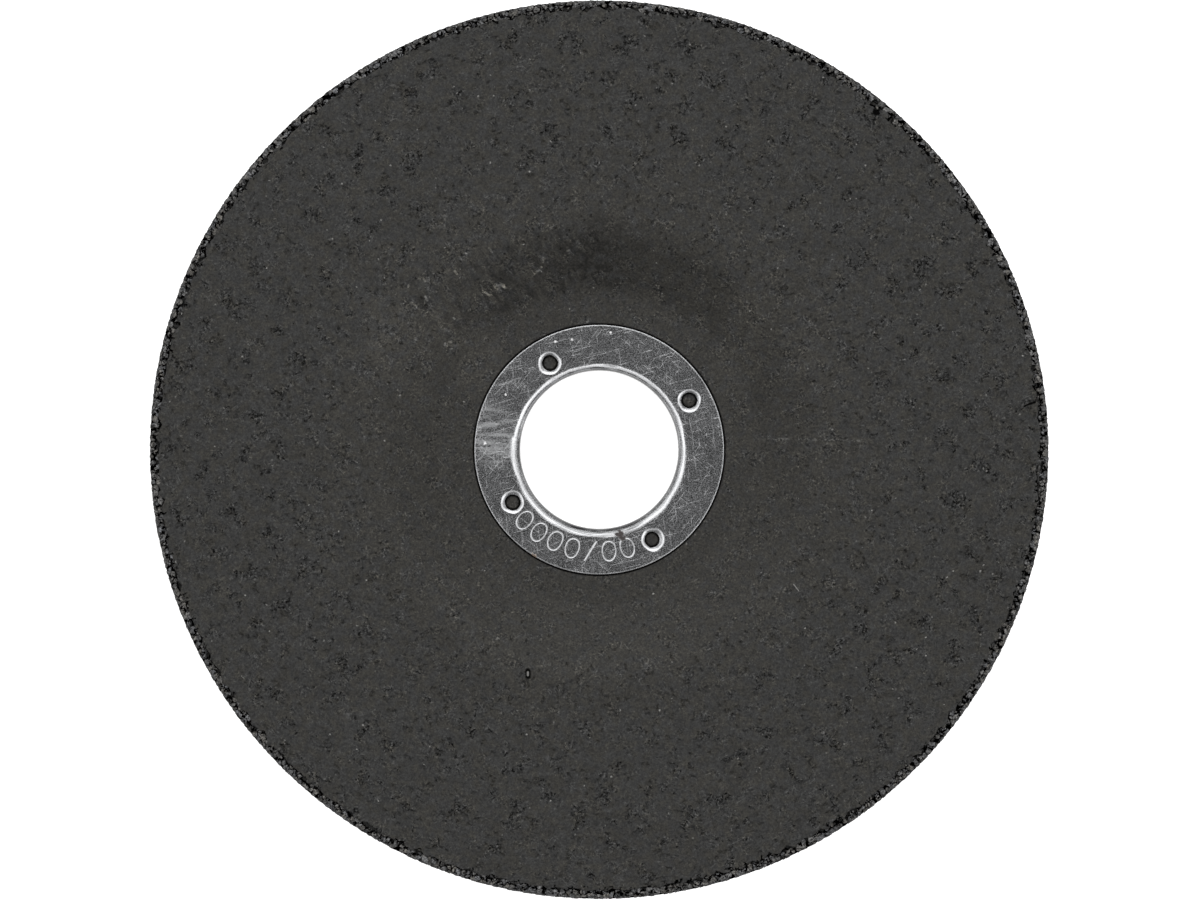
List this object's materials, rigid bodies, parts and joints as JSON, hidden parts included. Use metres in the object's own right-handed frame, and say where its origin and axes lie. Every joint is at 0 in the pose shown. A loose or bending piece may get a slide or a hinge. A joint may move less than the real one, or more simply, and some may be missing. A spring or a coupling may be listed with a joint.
{
  "type": "depressed-centre grinding disc",
  "caption": "Round resin-bonded grinding disc with a dished hub, a bare coarse rim and a pressed steel centre ring staked into the recess.",
  "frame": {"origin": "on the bore's axis at the hub's back face, which is the lowest face", "axes": "+Z along the bore's axis, out of the recess; +X and +Y in the disc's plane, +Y towards the picture's top"},
  "size_m": [0.125, 0.125, 0.01],
  "materials": {
    "resin_abrasive": "rough dark grey abrasive in resin, with fine pits",
    "ring_steel": "thin plated sheet steel, dulled and smeared"
  },
  "bodies": {
    "root": {"abrasive_wheel": "resin_abrasive", "centre_ring": "ring_steel"}
  },
  "joints": []
}
